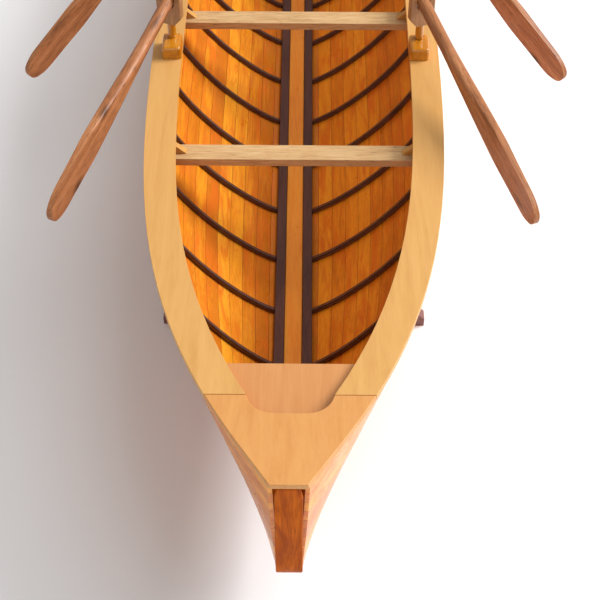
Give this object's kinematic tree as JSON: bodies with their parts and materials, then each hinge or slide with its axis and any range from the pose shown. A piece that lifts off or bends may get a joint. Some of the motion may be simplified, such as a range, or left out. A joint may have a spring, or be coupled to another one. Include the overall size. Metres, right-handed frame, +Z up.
{
  "type": "canoe",
  "caption": "Strip-planked double-ended rowing canoe on a cradle stand, with turning crutches and tipping oars, at display-model size.",
  "frame": {"origin": "on the table under the stand, midway between the hull's ends and sides", "axes": "+Z up, +Y along the keel to the bow, +X to starboard"},
  "size_m": [0.2974, 0.65, 0.1624],
  "materials": {
    "block_amber": "gloss varnish",
    "board_maple": "gloss varnish",
    "cap_maple": "gloss varnish",
    "crutch_oak": "satin",
    "deck_maple": "gloss varnish",
    "keel_cedar": "gloss varnish",
    "keelson_cedar": "gloss varnish",
    "knee_ash": "satin varnish",
    "oar_walnut": "satin",
    "plank_cedar": "gloss varnish",
    "rib_walnut": "satin varnish",
    "screw_brass": "bright",
    "stand_mahogany": "satin varnish",
    "stem_cedar": "gloss varnish",
    "thwart_ash": "bare"
  },
  "bodies": {
    "stand": {"cradle_stern": "stand_mahogany", "cradle_bow": "stand_mahogany", "stand_rail": "stand_mahogany", "stand_screws": "screw_brass"},
    "hull": {"keel": "keel_cedar", "hog": "keel_cedar", "stem_band_stern": "stem_cedar", "stem_band_bow": "stem_cedar", "stem_core_stern": "rib_walnut", "stem_core_bow": "rib_walnut", "planks_port": "plank_cedar", "planks_starboard": "plank_cedar", "ribs_port": "rib_walnut", "ribs_starboard": "rib_walnut", "keelson": "keelson_cedar", "keelson_strip_port": "rib_walnut", "keelson_strip_starboard": "rib_walnut", "cap_port": "cap_maple", "cap_starboard": "cap_maple", "deck_stern": "deck_maple", "deck_bow": "deck_maple", "end_board_stern": "board_maple", "end_board_bow": "board_maple", "thwart_aft": "thwart_ash", "thwart_middle": "thwart_ash", "thwart_fore": "thwart_ash", "knee_aft_port": "knee_ash", "knee_aft_starboard": "knee_ash", "knee_middle_port": "knee_ash", "knee_middle_starboard": "knee_ash", "knee_fore_port": "knee_ash", "knee_fore_starboard": "knee_ash", "rowlock_block_aft_port": "block_amber", "rowlock_block_aft_starboard": "block_amber", "rowlock_block_fore_port": "block_amber", "rowlock_block_fore_starboard": "block_amber"},
    "crutch_aft_port": {"crutch_aft_port": "crutch_oak"},
    "oar_aft_port": {"oar_aft_port": "oar_walnut"},
    "crutch_aft_starboard": {"crutch_aft_starboard": "crutch_oak"},
    "oar_aft_starboard": {"oar_aft_starboard": "oar_walnut"},
    "crutch_fore_port": {"crutch_fore_port": "crutch_oak"},
    "oar_fore_port": {"oar_fore_port": "oar_walnut"},
    "crutch_fore_starboard": {"crutch_fore_starboard": "crutch_oak"},
    "oar_fore_starboard": {"oar_fore_starboard": "oar_walnut"}
  },
  "joints": [
    {"name": "hull_lift", "type": "slide", "parent": "stand", "child": "hull", "axis": [0, 0, 1], "range_m": [0, 0.12]},
    {"name": "crutch_turn_aft_port", "type": "hinge", "parent": "hull", "child": "crutch_aft_port", "pos_m": [-0.0645, -0.042, 0.1351], "axis": [0, 0, -1], "range_deg": [-4.7, 105.1]},
    {"name": "oar_tip_aft_port", "type": "hinge", "parent": "crutch_aft_port", "child": "oar_aft_port", "pos_m": [-0.0645, -0.042, 0.1351], "axis": [-0.9403, 0.3404, 0], "range_deg": [-8.4, 25.6]},
    {"name": "crutch_turn_aft_starboard", "type": "hinge", "parent": "hull", "child": "crutch_aft_starboard", "pos_m": [0.0645, -0.042, 0.1351], "axis": [0, 0, 1], "range_deg": [-4.7, 105.1]},
    {"name": "oar_tip_aft_starboard", "type": "hinge", "parent": "crutch_aft_starboard", "child": "oar_aft_starboard", "pos_m": [0.0645, -0.042, 0.1351], "axis": [-0.9403, -0.3404, 0], "range_deg": [-8.4, 25.6]},
    {"name": "crutch_turn_fore_port", "type": "hinge", "parent": "hull", "child": "crutch_fore_port", "pos_m": [-0.0645, 0.07, 0.13512], "axis": [0, 0, -1], "range_deg": [-11.1, 86.9]},
    {"name": "oar_tip_fore_port", "type": "hinge", "parent": "crutch_fore_port", "child": "oar_fore_port", "pos_m": [-0.0645, 0.07, 0.13512], "axis": [-0.7649, 0.6441, 0], "range_deg": [-2.3, 38.2]},
    {"name": "crutch_turn_fore_starboard", "type": "hinge", "parent": "hull", "child": "crutch_fore_starboard", "pos_m": [0.0645, 0.07, 0.13512], "axis": [0, 0, 1], "range_deg": [-11.1, 86.9]},
    {"name": "oar_tip_fore_starboard", "type": "hinge", "parent": "crutch_fore_starboard", "child": "oar_fore_starboard", "pos_m": [0.0645, 0.07, 0.13512], "axis": [-0.7649, -0.6441, 0], "range_deg": [-2.3, 38.2]}
  ]
}
